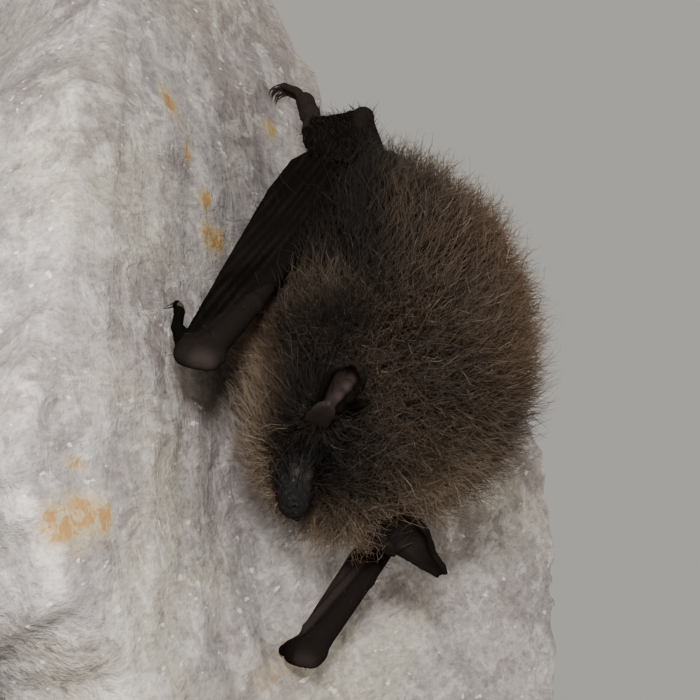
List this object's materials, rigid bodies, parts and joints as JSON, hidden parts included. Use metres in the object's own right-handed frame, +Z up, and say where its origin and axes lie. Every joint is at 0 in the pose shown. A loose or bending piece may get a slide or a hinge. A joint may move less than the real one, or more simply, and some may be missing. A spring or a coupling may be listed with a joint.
{
  "type": "whiskered bat hanging asleep on a piece of cave wall, life-size still model",
  "caption": "Small furry bat asleep head down, its wings folded, clinging by its feet to a piece of cave wall on a plain display stand.",
  "frame": {"origin": "centre of the stand's underside, on the surface that it stands on", "axes": "+Z up; the bat hangs head down on the -Y side of the rock, its back towards -Y and its right side towards -X"},
  "size_m": [0.104, 0.088, 0.1855],
  "materials": {
    "fur": "fluffy fur, blackish brown at the roots and golden brown at the tips",
    "bare_skin": "thin, dark, finely wrinkled skin with a dull sheen",
    "ear_skin": "thin, dark brown skin, slightly pinkish grey inside the ear",
    "eye": "wet, glossy black",
    "cave_rock": "pale grey limestone with faint ochre stains, dull",
    "stand_metal": "satin dark grey paint"
  },
  "bodies": {
    "root": {"trunk": "fur", "head": "fur", "tail": "bare_skin", "tail_membrane": "bare_skin", "eye_right": "eye", "eye_left": "eye", "ear_right": "ear_skin", "ear_left": "ear_skin", "tragus_right": "ear_skin", "tragus_left": "ear_skin", "forearm_right": "bare_skin", "forearm_left": "bare_skin", "wing_right": "bare_skin", "wing_left": "bare_skin", "thumb_right": "bare_skin", "thumb_left": "bare_skin", "shin_right": "bare_skin", "shin_left": "bare_skin", "foot_right": "bare_skin", "foot_left": "bare_skin", "side_membrane_right": "bare_skin", "side_membrane_left": "bare_skin", "perch_rock": "cave_rock", "stand_base": "stand_metal", "stand_rod_1": "stand_metal", "stand_rod_2": "stand_metal"}
  },
  "joints": []
}
